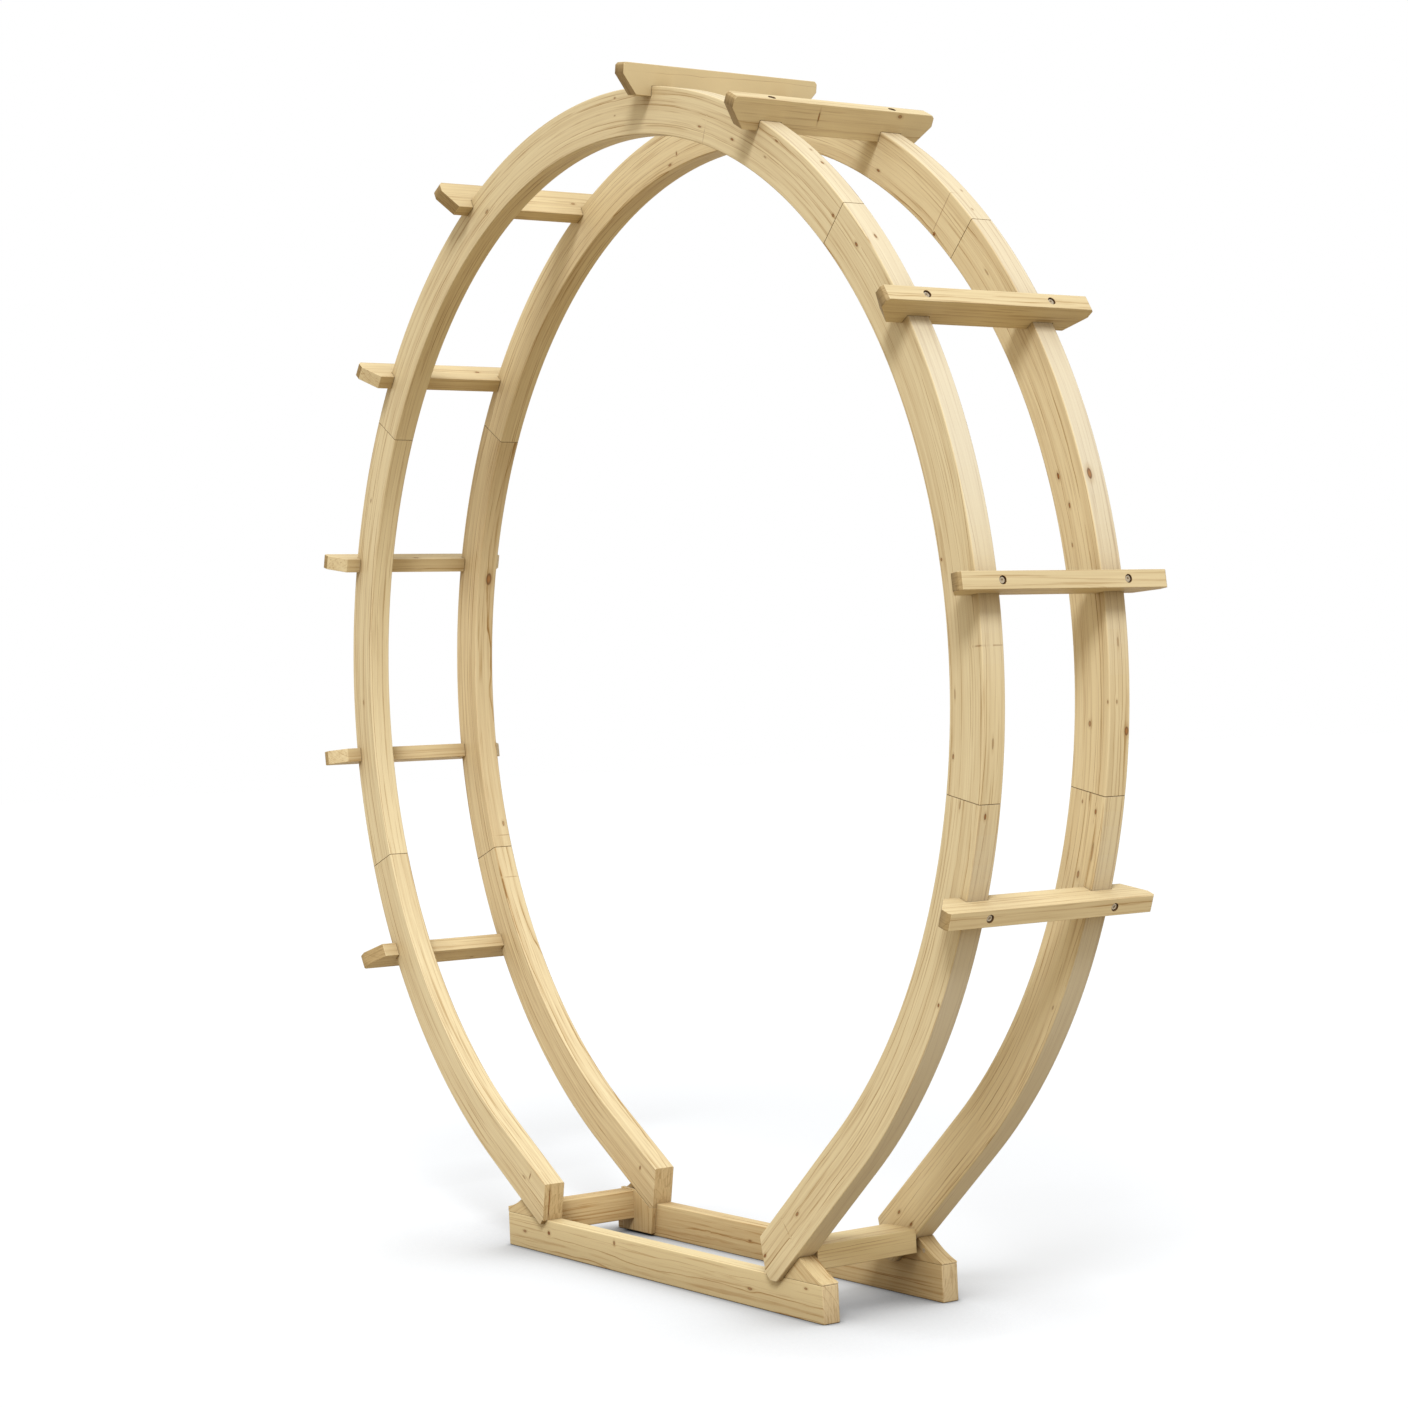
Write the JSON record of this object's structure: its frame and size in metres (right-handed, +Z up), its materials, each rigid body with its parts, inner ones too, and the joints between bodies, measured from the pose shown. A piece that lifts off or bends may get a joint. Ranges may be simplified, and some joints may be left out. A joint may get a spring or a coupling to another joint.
{
  "type": "round garden arch",
  "caption": "Free-standing round timber arch: twin laminated rings tied by notched slats on the outside, on a low base of bearers, cross rails and wedges.",
  "frame": {"origin": "on the floor, under the centre of the two rings and midway between them", "axes": "+Z up; +X to the right as seen from the front, across the opening; +Y from the front ring to the rear ring, along the way through"},
  "size_m": [2.318, 0.436, 2.2851],
  "materials": {
    "ring_timber": "planed pale softwood, laminated, with the layers following the ring; unvarnished, satin",
    "base_timber": "planed pale softwood, straight grain, unvarnished, satin",
    "slat_timber": "planed pale softwood, straight grain along the slat, sawn end grain",
    "dowel_wood": "turned beech dowel, plain",
    "screw_steel": "zinc-plated, dulled grey-brown"
  },
  "bodies": {
    "root": {"front_leg_left": "ring_timber", "front_side_left": "ring_timber", "front_crown": "ring_timber", "front_side_right": "ring_timber", "front_leg_right": "ring_timber", "rear_leg_left": "ring_timber", "rear_side_left": "ring_timber", "rear_crown": "ring_timber", "rear_side_right": "ring_timber", "rear_leg_right": "ring_timber", "front_bearer": "base_timber", "rear_bearer": "base_timber", "front_wedge_left": "base_timber", "front_wedge_right": "base_timber", "rear_wedge_left": "base_timber", "rear_wedge_right": "base_timber", "cross_rail_left": "base_timber", "cross_rail_right": "base_timber", "foot_plate": "base_timber", "slat_1": "slat_timber", "slat_2": "slat_timber", "slat_3": "slat_timber", "slat_4": "slat_timber", "slat_5": "slat_timber", "slat_6": "slat_timber", "slat_7": "slat_timber", "slat_8": "slat_timber", "slat_9": "slat_timber", "slat_10": "slat_timber", "slat_screws": "screw_steel", "leg_screws": "screw_steel", "wedge_screws": "screw_steel", "wedge_pin_screw": "screw_steel", "front_ring_dowels": "dowel_wood", "rear_ring_dowels": "dowel_wood", "rail_dowels": "dowel_wood"}
  },
  "joints": []
}
